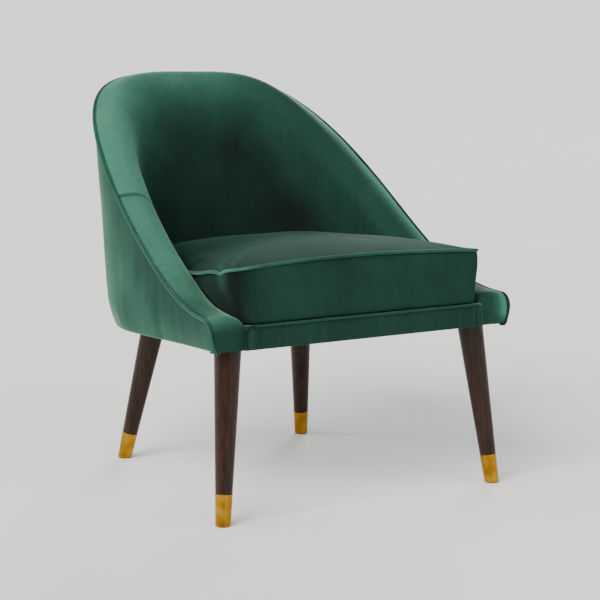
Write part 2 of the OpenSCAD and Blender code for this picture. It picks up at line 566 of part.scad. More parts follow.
leg_front_left();
leg_front_right();
leg_rear_left();
leg_rear_right();
ferrule_front_left();
ferrule_front_right();
ferrule_rear_left();
ferrule_rear_right();
glides();
hanger_bolts();
t_nuts();
front_rail();
rear_rail();
left_rail();
right_rail();
block_front_left();
block_front_right();
block_rear_left();
block_rear_right();
dowels();
webbing_long();
webbing_cross();
seat_deck();
dust_cover();
ply_shell();
wadding();
foam_back();
foam_arm_left();
foam_arm_right();
cover_outside();
cover_inside_back();
cover_arm_left();
cover_arm_right();
arm_tip_left();
arm_tip_right();
rim_piping();
rail_foam();
rail_cover();
rail_piping();
end_band_left();
end_band_right();
cushion_core();
cushion_top();
cushion_boxing();
cushion_bottom();
cushion_piping_top();
cushion_piping_bottom();
cushion_zip();
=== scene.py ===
# %% [markdown]
# # A barrel dining chair in velvet, on tapered legs
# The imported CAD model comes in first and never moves: it is the chair's timber, metal and
# sizes. Everything soft is then made over it as its own piece, in metres, in the same frame.

# %% Load the frame
import math

import bmesh
import bpy
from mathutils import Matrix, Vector, kdtree, noise


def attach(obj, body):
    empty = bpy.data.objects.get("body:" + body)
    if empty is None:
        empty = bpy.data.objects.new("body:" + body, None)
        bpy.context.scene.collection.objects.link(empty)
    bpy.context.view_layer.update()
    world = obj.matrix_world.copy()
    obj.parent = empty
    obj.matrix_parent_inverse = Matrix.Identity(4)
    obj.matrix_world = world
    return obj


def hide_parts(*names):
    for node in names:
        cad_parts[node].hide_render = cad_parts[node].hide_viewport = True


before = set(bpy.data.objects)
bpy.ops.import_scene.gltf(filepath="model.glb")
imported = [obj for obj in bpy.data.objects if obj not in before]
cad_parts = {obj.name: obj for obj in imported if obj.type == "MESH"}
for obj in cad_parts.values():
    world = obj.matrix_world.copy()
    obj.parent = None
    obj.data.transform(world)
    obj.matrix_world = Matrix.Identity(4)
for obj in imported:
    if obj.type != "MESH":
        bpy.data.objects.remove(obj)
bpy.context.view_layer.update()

# %% [markdown]
# ## The outline, as a template
# An upholsterer works from templates. Here they are short functions in millimetres, the same
# ones that the frame was drawn with: where the shell stands on the seat plane, how high its
# edge is at each place, and how thick the padding is.

# %% Template sizes
HALF_WIDTH, ARM_FLARE, ARM_LEN, BACK_DEPTH = 311, 11, 228, 335
CORNER_POWER, SIDE_LEAN, BACK_LEAN, TUCK, TUCK_H = 3.4, 0.04, 0.306, 12, 60
BASE_FRONT, BASE_DROP, ARM_FRONT_H, BACK_RISE, NOSE = 303, 21, 54, 399, 22
WALL_FRONT, WALL_BACK, WALL_GROW, RIM_RISE, SHOULDER = 68, 77, 0.05, 6, 30
SIDE_PART, NOSE_LOW, CREST_AT, FRONT_Y = 0.45, 0.5, 0.45, -351
BEND_Y, DEPTH = FRONT_Y + ARM_LEN, ARM_LEN + BACK_DEPTH
DECK_Z, CUSH_Z, CUSH_T, CROWN = 40.2, 44.9, 94, 31
RAIL_HALF, RAIL_PROUD, BAND_W = 251, 6.6, 22
# The panels' seams: their station, mm of outline to one unit of v there, how far an edge is
# turned in, and how close the row that keeps it crisp lies.
SEAM_V, SEAM_MM, TURN_IN, FIRM_V = 0.4783, 1180, 2.4, 0.0006
# The cushion's corner radius, and how many rings its top panel has.
CUSH_R, TOP_RINGS = 32, 34
# Webbing: a strap's width, the spacing of long and cross straps, and where the first crosses.
WEB_W, WEB_APART, WEB_DEEP, WEB_FIRST = 50, 88, 84, 92
print("arms", ARM_LEN, "mm deep, shell", DEPTH, "mm deep")


# %% Template curves
def clip(x):
    return min(max(x, 0.0), 1.0)


def smooth(x):
    x = clip(x)
    return x * x * (3 - 2 * x)


def plan(u):
    """Outline of the shell on the right side: u 0 at the arm's front, 1 at mid back."""
    if u < SIDE_PART:
        f = u / SIDE_PART
        return HALF_WIDTH + ARM_FLARE * (1 - f) ** 2, FRONT_Y + ARM_LEN * f
    t = math.pi / 2 * (u - SIDE_PART) / (1 - SIDE_PART)
    c, s = max(math.cos(t), 0.0), math.sin(t)
    return HALF_WIDTH * c ** (2 / CORNER_POWER), BEND_Y + BACK_DEPTH * s ** (2 / CORNER_POWER)


def plan_out(u):
    """Outward direction of that outline."""
    if u < SIDE_PART:
        return 1.0, 0.0
    t = math.pi / 2 * (u - SIDE_PART) / (1 - SIDE_PART)
    k = 2 * (CORNER_POWER - 1) / CORNER_POWER
    x, y = max(math.cos(t), 0.0) ** k / HALF_WIDTH, math.sin(t) ** k / BACK_DEPTH
    n = math.hypot(x, y)
    return x / n, y / n


def plane_z(y):
    return BASE_FRONT - BASE_DROP * (y - FRONT_Y) / DEPTH


def base_z(u):
    return BASE_FRONT - BASE_DROP * clip((plan(u)[1] - FRONT_Y) / DEPTH)


def rim_z(u):
    y = plan(u)[1]
    q, b = clip((y - FRONT_Y) / DEPTH), base_z(u)
    z = BASE_FRONT + ARM_FRONT_H + BACK_RISE * q * q * (0.78 + 1.02 * q - 0.8 * q * q)
    e = clip((y - FRONT_Y) / NOSE)
    return b + (z - b) * (NOSE_LOW + (1 - NOSE_LOW) * math.sqrt(max(0.0, 1 - (1 - e) ** 2)))


def wall(u):
    return WALL_FRONT + (WALL_BACK - WALL_FRONT) * clip((plan(u)[1] - FRONT_Y) / DEPTH)


def wall_at(u, z):
    return wall(u) + WALL_GROW * max(rim_z(u) + RIM_RISE - z, 0)


def pt(v, z, inset):
    """A point of the shell: v -1 to 1 from the left arm's front round to the right one's."""
    u = 1 - abs(v)
    s = -1 if v < 0 else 1
    (x, y), (nx, ny) = plan(u), plan_out(u)
    h = z - base_z(u)
    k = TUCK * clip(1 - h / TUCK_H) ** 2
    return Vector((s * (x - (SIDE_LEAN * h + k) * x / HALF_WIDTH - inset * nx),
                   y + (BACK_LEAN * h - k) * clip((y - BEND_Y) / BACK_DEPTH) - inset * ny, z))


def level_z(v, up, inset):
    u = 1 - abs(v)
    y = plan(u)[1]
    return plane_z(y - inset * plan_out(u)[1]
                   + BACK_LEAN * up * clip((y - BEND_Y) / BACK_DEPTH)) + up


print("rim", round(rim_z(0.1)), "mm at the arms,", round(rim_z(1)), "mm at the back")

# %% [markdown]
# ## Even spacing along the outline
# The outline runs fast round its corners, so equal steps of u would give long, thin faces
# there. Walking the curve and marking equal lengths gives even cloth, which shades evenly.


# %% Even stations
def even(a, b, step):
    """Stations v from a to b, each about step mm apart along the outline."""
    fine = [a + (b - a) * k / 4000 for k in range(4001)]
    where = [pt(v, base_z(1 - abs(v)) + 80, 0) for v in fine]
    run = [0.0]
    for p, q in zip(where, where[1:]):
        run.append(run[-1] + (q.xy - p.xy).length)
    n = max(2, round(run[-1] / step))
    out, k = [], 0
    for i in range(n + 1):
        goal = run[-1] * i / n
        while k < 4000 and run[k + 1] < goal:
            k += 1
        out.append(fine[min(k + 1, 4000)] if i else a)
    out[-1] = b
    return out


round_vs = even(-0.9965, 0.9965, 5)
print(len(round_vs), "stations round the shell")

# %% [markdown]
# ## Small tools for soft goods
# A panel of cloth is a grid of points turned into faces; a piping is a round cord along a
# path. Each is in millimetres until its mesh is made, then in metres like the frame.


# %% Cloth and cord makers
def only(obj):
    """Select one object alone, so that an operator acts on nothing else."""
    bpy.ops.object.select_all(action="DESELECT")
    obj.select_set(True)
    bpy.context.view_layer.objects.active = obj


def apply_all(obj):
    only(obj)
    for m in list(obj.modifiers):
        bpy.ops.object.modifier_apply(modifier=m.name)


def tidy_mesh(obj, consistent=True):
    """Merge doubles, face outwards and shade smooth, in edit mode as by hand."""
    only(obj)
    bpy.ops.object.mode_set(mode="EDIT")
    bpy.ops.mesh.select_all(action="SELECT")
    bpy.ops.mesh.remove_doubles(threshold=0.00001)
    if consistent:
        bpy.ops.mesh.normals_make_consistent(inside=False)
    bpy.ops.object.mode_set(mode="OBJECT")
    bpy.ops.object.shade_smooth()


def cloth_grid(name, rows, closed=False, caps=()):
    """Faces between rows of points, all rows of one length; closed joins each row's ends,
    and caps names the rows, first 0 and last -1, that close to a middle point."""
    n, m = len(rows), len(rows[0])
    verts = [p * 0.001 for r in rows for p in r]
    faces = [(i * m + j, i * m + (j + 1) % m, (i + 1) * m + (j + 1) % m, (i + 1) * m + j)
             for i in range(n - 1) for j in range(m if closed else m - 1)]
    for i in [cap % n for cap in caps]:
        verts.append(sum((v for v in verts[i * m:(i + 1) * m]), Vector()) / m)
        c = len(verts) - 1
        faces += [(c, i * m + (j + 1) % m, i * m + j) if i == 0 else
                  (c, i * m + j, i * m + (j + 1) % m) for j in range(m)]
    mesh = bpy.data.meshes.new(name)
    mesh.from_pydata([tuple(v) for v in verts], [], faces)
    obj = bpy.data.objects.new(name, mesh)
    bpy.context.scene.collection.objects.link(obj)
    tidy_mesh(obj, consistent=len(caps) == 2)
    return obj


def face_towards(obj, centre, towards=True):
    """Turn an open panel's faces so that they look to a centre, or away from it."""
    total = sum(f.normal.dot(Vector(centre) - f.center) * f.area for f in obj.data.polygons)
    if (total > 0) != towards:
        obj.data.flip_normals()


def wander(obj, amount, size, seed):
    """Moves a surface in and out a little, as hand-laid padding does."""
    mesh = obj.data
    normals = [v.normal.copy() for v in mesh.vertices]
    for v, n in zip(mesh.vertices, normals):
        q = v.co * (1000 / size)
        v.co += n * (amount * 0.001 * noise.noise(q + Vector((seed * 7.3, seed * 1.7, 3.1))))
    mesh.update()


def thicken(obj, mm):
    mod = obj.modifiers.new("cloth thickness", "SOLIDIFY")
    mod.thickness, mod.offset = mm * 0.001, -1
    apply_all(obj)
    bpy.ops.object.shade_smooth()


def cord(name, path, radius, closed=False):
    """A sewn cord along a path: a curve with a round section, made a mesh."""
    curve = bpy.data.curves.new(name, "CURVE")
    curve.dimensions = "3D"
    curve.bevel_depth, curve.bevel_resolution = radius * 0.001, 3
    curve.use_fill_caps = True
    spline = curve.splines.new("POLY")
    spline.points.add(len(path) - 1)
    for p, q in zip(spline.points, path):
        p.co = (*(q * 0.001), 1)
    spline.use_cyclic_u = closed
    obj = bpy.data.objects.new(name, curve)
    bpy.context.scene.collection.objects.link(obj)
    only(obj)
    bpy.ops.object.convert(target="MESH")
    obj = bpy.context.view_layer.objects.active
    bpy.ops.object.shade_smooth()
    return obj


def mirrored(path):
    """The same path on the other side, walked the other way."""
    return [Vector((-p.x, p.y, p.z)) for p in reversed(path)]


def report(obj):
    print(obj.name, len(obj.data.polygons), "faces")


# %% [markdown]
# ## Painted light and shade on the velvet
# Velvet looks dark or light with the lean of its pile. Every soft piece stores a value at each
# of its points, and the velvet reads it: mostly painted light and shade, lighter over the rims
# and darker deep in the shell and beside seams, with some random mottling. Two lines to measure
# from come first: the padding's highest line and the rim piping, each as a tree that finds the
# nearest point quickly.

# %% Pile and painted light
def line_tree(points):
    """A tree of points that answers how far away the nearest one is."""
    tree = kdtree.KDTree(len(points))
    for k, p in enumerate(points):
        tree.insert(p, k)
    tree.balance()
    return tree


def crest_point(v):
    u = 1 - abs(v)
    return pt(v, rim_z(u) + RIM_RISE, CREST_AT * wall(u))


crest_line = line_tree([crest_point(-1 + 2 * k / 600) for k in range(601)])
rim_line = line_tree([pt(k / 600 - 1, rim_z(1 - abs(k / 600 - 1)), 0) for k in range(1201)])


def paint_light_and_pile(obj, lean):
    """Store painted light and shade, -1 dark to 1 light, with any random mottling, on every point.
    lean is a number, or a function of a point in mm."""
    mark = obj.data.attributes.new("painted_light_and_pile", "FLOAT", "POINT")
    for v, item in zip(obj.data.vertices, mark.data):
        item.value = lean(v.co * 1000) if callable(lean) else lean


def from_crest(p):
    """Painted light over the rim's crest and on the left, painted shade deep inside the shell. On
    the right, more painted shade, all but a painted highlight beside the piping."""
    deep = 1.0 - 1.85 * smooth(crest_line.find(p)[2] / 195) + 0.4 * smooth((-90 - p.x) / 130)
    right = smooth((p.x - 10) / 220)
    edge = math.exp(-(rim_line.find(p)[2] / 24) ** 2)
    return deep + right * (2.2 * edge - 1.15 * (0.35 + 0.65 * clip(deep)))


def piping_seam_shade(p):
    """Painted shade in the seam on either side of the rim piping."""
    return 1.1 * math.exp(-((rim_line.find(p)[2] - 3) / 2.6) ** 2)


print("lean at mid back:", round(from_crest(crest_point(0)), 2))

# %% [markdown]
# ## Colours and a helper for materials
# Colours are written as sRGB hex, as a paint chart gives them, and turned to linear once.
# One function adds a node with its settings and links.


# %% Material helpers
def colour(hex_code):
    parts = [int(hex_code[i:i + 2], 16) / 255 for i in (1, 3, 5)]
    return (*[c / 12.92 if c <= 0.04045 else ((c + 0.055) / 1.055) ** 2.4 for c in parts], 1)


def add(mat, kind, links=None, **settings):
    """Add a node: links maps its inputs to other nodes' outputs, settings set the rest."""
    tree = mat.node_tree
    made = tree.nodes.new(kind)
    for key, value in settings.items():
        if key.startswith("in_"):
            socket = made.inputs[int(key[3:])] if key[3:].isdigit() else made.inputs[
                key[3:].replace("_", " ")]
            socket.default_value = value
        else:
            setattr(made, key, value)
    for key, out in (links or {}).items():
        tree.links.new(out, made.inputs[key])
    return made


def start(name, **constants):
    """A new material with its Principled shader; constants are set on the shader itself."""
    mat = bpy.data.materials.new(name)
    mat.use_nodes = True
    shader = mat.node_tree.nodes["Principled BSDF"]
    for key, value in constants.items():
        shader.inputs[key.replace("_", " ")].default_value = value
    where = add(mat, "ShaderNodeTexCoord").outputs["Object"]
    return mat, shader, where


def noise_at(mat, where, size_mm, stretch=(1, 1, 1), detail=3, rough=0.5):
    """Noise whose blotches are about size_mm across, longer where stretch is above 1."""
    k = 1000 / size_mm
    place = add(mat, "ShaderNodeMapping", {"Vector": where},
                in_Scale=(k / stretch[0], k / stretch[1], k / stretch[2]))
    return add(mat, "ShaderNodeTexNoise", {"Vector": place.outputs[0]}, in_Scale=1.0,
               in_Detail=detail, in_Roughness=rough).outputs["Fac"]


def ramp(mat, fac, stops):
    made = add(mat, "ShaderNodeValToRGB", {"Fac": fac})
    band = made.color_ramp
    while len(band.elements) < len(stops):
        band.elements.new(0.5)
    for e, (at, shade) in zip(band.elements, stops):
        e.position, e.color = at, colour(shade)
    return made.outputs["Color"]


def mix(mat, a, b, fac, how="MIX"):
    made = add(mat, "ShaderNodeMix", data_type="RGBA", blend_type=how)
    for socket, value in ((made.inputs[6], a), (made.inputs[7], b), (made.inputs[0], fac)):
        if hasattr(value, "node"):
            mat.node_tree.links.new(value, socket)
        else:
            socket.default_value = value
    return made.outputs[2]


def finish_with(mat, shader, tone=None, bump=None, rough=None):
    """Join the colour, the bump list of (height, mm) and the roughness to the shader."""
    link = mat.node_tree.links.new
    if tone is not None:
        link(tone, shader.inputs["Base Color"])
    if rough is not None:
        low, high = rough[1], rough[2]
        r = add(mat, "ShaderNodeMapRange", {"Value": rough[0]}, in_3=low, in_4=high)
        link(r.outputs[0], shader.inputs["Roughness"])
    last = None
    for height, mm in bump or []:
        made = add(mat, "ShaderNodeBump", {"Height": height}, in_Strength=1.0,
                   in_Distance=mm * 0.001)
        if last is not None:
            link(last, made.inputs["Normal"])
        last = made.outputs["Normal"]
    if last is not None:
        link(last, shader.inputs["Normal"])
    return mat


# %% [markdown]
# ## Cotton velvet
# Velvet is a woven cloth with a short standing pile. The pile swallows light that comes
# straight down into it and shines where it is seen from its side, so the colour is dark and
# the sheen strong. The pile leans where a hand has brushed it: broad soft patches and faint
# long streaks. The threads are about 0.4 mm apart; the grain is drawn at 1.6 mm to show.


# %% Velvet
def velvet(name, shade, deep, mid, light, bright, sheen, tint):
    mat, shader, where = start(name, Roughness=0.82, Sheen_Weight=sheen, Sheen_Roughness=0.32,
                               Sheen_Tint=colour(tint), Specular_IOR_Level=0.09)
    patches = noise_at(mat, where, 130, (1, 1, 1.6), 3)
    streaks = noise_at(mat, where, 9, (1, 1, 14), 2)
    grain = noise_at(mat, where, 1.6, (1, 1, 1.5), 2, 0.7)
    # The stored value read here is mostly painted light and shade; it moves the tone along the
    # ramp.
    brushed = add(mat, "ShaderNodeAttribute", attribute_name="painted_light_and_pile").outputs["Fac"]
    soft = add(mat, "ShaderNodeMapRange", {"Value": patches}, in_3=0.38, in_4=0.62)
    lean = add(mat, "ShaderNodeMath", {0: brushed, 2: soft.outputs[0]},
               operation="MULTIPLY_ADD", in_1=0.3)
    tone = ramp(mat, lean.outputs[0], [(0.16, shade), (0.34, deep), (0.5, mid), (0.66, light),
                                       (0.88, bright)])
    tone = mix(mat, tone, ramp(mat, streaks, [(0.3, "#A8A8A8"), (0.7, "#FFFFFF")]), 0.22,
               "MULTIPLY")
    tone = mix(mat, tone, ramp(mat, grain, [(0.3, "#7C7C7C"), (0.7, "#FFFFFF")]), 0.45,
               "MULTIPLY")
    return finish_with(mat, shader, tone, [(patches, 0.5), (streaks, 0.1), (grain, 0.28)])


green_velvet = velvet("cotton velvet, brushed", "#0F1C19", "#18352E", "#204439", "#2F5C4D",
                      "#4B8571", 0.66, "#9CCDB7")
# The piping's velvet is a lighter copy of the main one: a painted highlight along the cords, and
# partly their more rubbed pile.
welt_velvet = velvet("cotton velvet on piping cord", "#0E1F1B", "#193A32", "#235042",
                     "#346B59", "#508B75", 0.8, "#A3D0BB")
seat_velvet = velvet("cotton velvet, sat on", "#0E1D1A", "#17332D", "#1E4038", "#285045",
                     "#386559", 0.2, "#8CC4AD")
print("velvets:", green_velvet.name, "/", welt_velvet.name, "/", seat_velvet.name)

# %% [markdown]
# ## Stained hardwood, lacquered
# The legs are turned from a close hardwood, stained as dark as espresso and lacquered to a
# satin. The stain hides most of the grain: long thin streaks along the leg and a few lighter
# ones, about 1 mm wide and 60 mm long.

# %% Leg finish
mat, shader, where = start("hardwood, espresso stain and satin lacquer", Coat_Weight=0.28,
                           Coat_Roughness=0.14, Specular_IOR_Level=0.1, IOR=1.5)
streaks = noise_at(mat, where, 2.4, (1, 1, 34), 5, 0.62)
bands = noise_at(mat, where, 16, (1, 1, 16), 2)
tone = mix(mat, ramp(mat, streaks, [(0.32, "#180B05"), (0.55, "#2E190C"), (0.78, "#4E2C16")]),
           ramp(mat, bands, [(0.35, "#8F8078"), (0.65, "#FFFFFF")]), 0.7, "MULTIPLY")
stained_wood = finish_with(mat, shader, tone, [(streaks, 0.08)], (bands, 0.34, 0.46))
print(stained_wood.name)

# %% [markdown]
# ## Brass, brushed
# The ferrules are drawn brass tube, brushed round and lacquered: a warm yellow metal with
# fine lines across the leg and a little unevenness in its shine.

# %% Brass
mat, shader, where = start("brass, brushed and lacquered", Metallic=1.0)
lines = noise_at(mat, where, 0.9, (26, 26, 1), 2, 0.6)
smudge = noise_at(mat, where, 22, (1, 1, 1), 3)
tone = ramp(mat, smudge, [(0.3, "#8E6213"), (0.55, "#A87A1E"), (0.8, "#C0953A")])
brass = finish_with(mat, shader, tone, [(lines, 0.03)], (smudge, 0.2, 0.34))
print(brass.name)

# %% [markdown]
# ## What the inside of the chair is made of
# Beech rails, birch plywood bent for the shell, zinc-plated fixings, nylon glides. They are
# out of sight in the finished chair, but each has its own finish.

# %% Inner finishes
mat, shader, where = start("beech, planed", IOR=1.5)
flecks = noise_at(mat, where, 1.4, (9, 1, 1), 4, 0.6)
boards = noise_at(mat, where, 40, (5, 1, 1), 2)
tone = mix(mat, ramp(mat, flecks, [(0.35, "#A97B4C"), (0.6, "#C79A68")]),
           ramp(mat, boards, [(0.3, "#D9C4A8"), (0.7, "#FFFFFF")]), 0.6, "MULTIPLY")
beech = finish_with(mat, shader, tone, [(flecks, 0.06)], (flecks, 0.5, 0.65))

mat, shader, where = start("birch plywood, bent", IOR=1.5)
figure = noise_at(mat, where, 5, (1, 1, 22), 4)
tone = ramp(mat, figure, [(0.3, "#B98F5C"), (0.6, "#D3AE7C"), (0.8, "#E0C194")])
birch_ply = finish_with(mat, shader, tone, [(figure, 0.1)], (figure, 0.45, 0.6))

mat, shader, where = start("steel, zinc plated", Metallic=1.0)
spangle = noise_at(mat, where, 1.5, (1, 1, 1), 2)
tone = ramp(mat, spangle, [(0.3, "#8D9196"), (0.7, "#C4C8CC")])
zinc = finish_with(mat, shader, tone, [(spangle, 0.01)], (spangle, 0.28, 0.42))

mat, shader, where = start("nylon, moulded", IOR=1.53)
skin_marks = noise_at(mat, where, 0.6, (1, 1, 1), 2)
tone = ramp(mat, skin_marks, [(0.3, "#0E0E0F"), (0.7, "#1C1C1E")])
black_nylon = finish_with(mat, shader, tone, [(skin_marks, 0.02)], (skin_marks, 0.4, 0.55))
print("inner finishes:", beech.name, birch_ply.name, zinc.name, black_nylon.name)

# %% [markdown]
# ## Cloths that are not velvet
# Under the cushion is a plain woven deck cloth; under the chair a black spun cloth keeps dust
# out. The webbing is elastic, with a heavier rib along it. Weaves are drawn at 1.6 to 2 mm.


# %% Woven cloths
def woven(name, dark, pale, spacing, depth):
    mat, shader, where = start(name, Roughness=0.9, Sheen_Weight=0.12)
    size = add(mat, "ShaderNodeMapping", {"Vector": where},
               in_Scale=(1000 / spacing, 1000 / spacing, 1000 / spacing))
    warp = add(mat, "ShaderNodeTexWave", {"Vector": size.outputs[0]}, bands_direction="X",
               in_Scale=0.314, in_Distortion=0.3).outputs["Fac"]
    weft = add(mat, "ShaderNodeTexWave", {"Vector": size.outputs[0]}, bands_direction="Y",
               in_Scale=0.314, in_Distortion=0.3).outputs["Fac"]
    cross = add(mat, "ShaderNodeMath", {0: warp, 1: weft}, operation="MULTIPLY").outputs[0]
    slub = noise_at(mat, where, 14, (1, 4, 1), 3)
    tone = mix(mat, ramp(mat, cross, [(0.1, dark), (0.8, pale)]),
               ramp(mat, slub, [(0.3, "#B0B0B0"), (0.7, "#FFFFFF")]), 0.6, "MULTIPLY")
    return finish_with(mat, shader, tone, [(cross, depth), (slub, 0.2)])


deck_cloth = woven("polyester deck cloth, plain weave", "#0B0D0C", "#232826", 1.8, 0.3)
dust_cloth = woven("polypropylene dust cloth, spun", "#060606", "#161616", 1.6, 0.15)
web_cloth = woven("elastic webbing, ribbed", "#8D8474", "#D8CFBE", 2.0, 0.4)
print("cloths ready")

# %% [markdown]
# ## Finishes on the fixed parts
# The timber and metal keep their CAD shape and only change their material.

# %% Dress the frame
dressing = {"leg": stained_wood, "ferrule": brass, "glides": black_nylon, "hanger": zinc,
            "t_nuts": zinc, "front_rail": beech, "rear_rail": beech, "left_rail": beech,
            "right_rail": beech, "block": beech, "dowels": beech, "ply_shell": birch_ply}
for name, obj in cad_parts.items():
    for key, finish in dressing.items():
        if name.startswith(key):
            if not obj.material_slots:
                obj.data.materials.append(finish)
            for holder in obj.material_slots:
                holder.material = finish
            print(name, "->", finish.name)


# %% [markdown]
# ## Handing a piece over
# A finished piece gets its material, says which body it moves with and which plain CAD solids
# it stands for.


# %% Hand over
def hand_over(obj, finish, body, stands_for=(), painted_light_and_pile=None):
    """Finish, body, the CAD solids it stands for, and its painted light and shade."""
    if painted_light_and_pile is not None:
        paint_light_and_pile(obj, painted_light_and_pile)
    obj.data.materials.clear()
    obj.data.materials.append(finish)
    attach(obj, body)
    if stands_for:
        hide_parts(*stands_for)
    report(obj)
    return obj


# %% [markdown]
# ## The outside cover
# One wide panel of velvet goes round the back over a thin wadding. It is sewn to the rim
# piping, pulled down over the shell, turned under the bottom edge and stapled there, which
# leaves faint upright folds near the bottom. A grid that follows the template gives exactly
# that, with the folds added as small waves that fade upwards.


# %% Outside cover
def outside_section(v):
    u = 1 - abs(v)
    b, top = base_z(u), rim_z(u) - 1.2
    run = [(26 - 22 * k / 4, 0.5) for k in range(4)]
    run += [(4 - 4 * math.sin(t), 4.5 - 4 * math.cos(t)) for t in
            [math.pi / 2 * k / 5 for k in range(6)]]
    span = top - b - 4.5
    run += [(0, 4.5 + span * (k / 56)) for k in range(1, 57)]
    out = []
    for inset, h in run:
        grip = math.exp(-max(h, 0) / 95) * clip(h / 8) * clip((top - b - h) / 20)
        along = pt(v, b + 80, 0)
        fold = noise.noise(Vector((along.x / 26, along.y / 26, h / 260))) * 1.3 * grip
        soft = noise.noise(Vector((along.x / 90, along.y / 90, h / 90 + 9))) * 1.6 * clip(
            h / 30) * clip((top - b - h) / 40)
        out.append(pt(v, b + h, inset - fold - soft))
    return out


def outside_pile_and_painted_light(p):
    """Set light overall as painted light, with pile brushed down in long uneven strokes at random,
    and painted shade towards the rim and in the seam by its piping.
    """
    strokes = noise.noise(Vector((p.x / 34, p.y / 34, p.z / 190)))
    patch = noise.noise(p / 85 + Vector((7, 3, 1)))
    shade = 0.45 * (1 - smooth((rim_line.find(p)[2] - 10) / 90))
    return 0.38 + 0.28 * strokes + 0.16 * patch - shade - piping_seam_shade(p)


outside = cloth_grid("outside_cover", [outside_section(v) for v in round_vs])
face_towards(outside, (0, -0.05, 0.45), False)
thicken(outside, 2)
hand_over(outside, green_velvet, "chair", ["cover_outside", "wadding"],
          outside_pile_and_painted_light)

# %% [markdown]
# ## The inside panels
# The padding of the inside back and the arms is cut foam, highest a little inside the rim,
# with a soft shoulder that turns down into the seat. It is covered by three panels: a back
# and two arms, sewn together by a seam across each arm. Near a seam the cloth is drawn in,
# so the seam lies in a shallow valley, and each panel's edge is turned in along it.


# %% Inside section
def inside_section(v, tuck=0):
    u = 1 - abs(v)
    y = plan(u)[1] - FRONT_Y
    b, crest, w = base_z(u), rim_z(u) + RIM_RISE, wall(u)
    full = level_z(v, DECK_Z, wall(u))
    floor = b + 41 + (full - b - 41) * smooth(y / 24)
    drop = min(SHOULDER + 75 * smooth((u - 0.4) / 0.4),
               (1.0 - 0.2 * smooth(y / 40)) * (crest - floor))
    zs, ic = crest - drop, CREST_AT * w
    a = wall_at(u, zs) - ic
    low = max(b + 1, floor - 26 - 20 * (1 - smooth(y / 40)))
    path = [(wall_at(u, low + (zs - low) * k / 30), low + (zs - low) * k / 30)
            for k in range(30)]
    path += [(ic + a * math.sin(t), zs + drop * math.cos(t)) for t in
             [math.pi / 2 * (1 - k / 18) for k in range(18)]]
    path += [(ic - (ic - 3.0) * math.sin(t), crest - 5.4 * (1 - math.cos(t))) for t in
             [math.pi / 2 * k / 12 for k in range(13)]]
    path.append((2.0, rim_z(u) - 1.5))
    near = abs(abs(v) - SEAM_V) * SEAM_MM
    valley = 0.5 * math.exp(-(near / 3.2) ** 2) + 0.4 * math.exp(-(near / 14) ** 2) + tuck
    out = []
    for k, (inset, z) in enumerate(path):
        lean = smooth((len(path) - 1 - k) / 8)
        wall_share = clip((inset - ic) / max(a, 1))
        out.append(pt(v, z - valley * lean * (1 - wall_share), inset - valley * lean * wall_share))
    return out


def arm_front(v_end):
    """The arm's front face: the end section carried straight down and turned under."""
    end = inside_section(v_end)
    low = base_z(1 - abs(v_end)) + 0.8
    rows = []
    for f in [k / 10 for k in range(1, 11)]:
        rows.append([Vector((p.x, p.y - 0.9 * math.sin(math.pi * f), p.z + (low - p.z) * f)) if
                     p.z > low else p.copy() for p in end])
    for k in (1, 2, 3):
        rows.append([Vector((p.x, p.y + 3.5 * k, low - 0.2)) for p in rows[9]])
    return rows


seams = [inside_section(v) for v in (-SEAM_V, SEAM_V)]
seam_line = line_tree([(s[k // 2] + s[(k + 1) // 2]) / 2 for s in seams for k in range(121)])


def inside_pile_and_painted_light(p):
    """As from_crest says, mottled at random, with painted shade in the seam by the rim piping and
    along the two seams.
    """
    return from_crest(p) + 0.16 * noise.noise(p / 75) - piping_seam_shade(p) - (
        1.0 - 0.7 * smooth(p.x / 60)) * math.exp(-(seam_line.find(p)[2] / 3) ** 2)


def arm_pile_and_painted_light(p):
    """Like the inside, and on the left arm painted shade down its length and on its front, with a
    painted highlight over its tip.
    """
    left, from_tip = smooth(-p.x / 60), p.y - FRONT_Y
    down = 0.9 * (1 - smooth((from_tip - 40) / 170))
    tip = 0.9 * math.exp(-((from_tip - 16) / 13) ** 2)
    front = 0.7 * (1 - smooth((from_tip + 2) / 5))
    return 0.8 * inside_pile_and_painted_light(p) - left * (down - tip + front)


back_vs = even(-SEAM_V, SEAM_V, 5)
back_vs[1:1], back_vs[-1:-1] = [-SEAM_V + FIRM_V], [SEAM_V - FIRM_V]
back_rows = [inside_section(v) for v in back_vs]
back_rows = [inside_section(-SEAM_V, TURN_IN)] + back_rows + [inside_section(SEAM_V, TURN_IN)]
inside_back = cloth_grid("inside_back_pad", back_rows)
face_towards(inside_back, (0, -0.25, 0.75))
wander(inside_back, 1.5, 130, 3)
wander(inside_back, 0.3, 45, 5)
thicken(inside_back, 2)
hand_over(inside_back, green_velvet, "chair", ["cover_inside_back", "foam_back"],
          inside_pile_and_painted_light)

# %% Arm panels
arm_us = [-v for v in even(0.9999, SEAM_V, 4)]
for side, sign in (("left", -1), ("right", 1)):
    vs = [-sign * v for v in arm_us]
    vs.insert(-1, vs[-1] * (1 + FIRM_V / SEAM_V))
    rows = list(reversed(arm_front(vs[0]))) + [inside_section(v) for v in vs]
    rows.append(inside_section(vs[-1], TURN_IN))
    arm = cloth_grid("arm_pad_" + side, rows)
    face_towards(arm, (0, -0.3, 0.9))
    wander(arm, 1.5, 130, 3)
    wander(arm, 0.3, 45, 5)
    thicken(arm, 2)
    hand_over(arm, green_velvet, "chair",
              ["cover_arm_" + side, "foam_arm_" + side, "arm_tip_" + side],
              arm_pile_and_painted_light)

# %% [markdown]
# ## The rim piping
# A 6 mm cord wrapped in velvet is sewn in all round the rim, and turned down the front of
# each arm and under it. A curve with a round section follows the rim exactly.

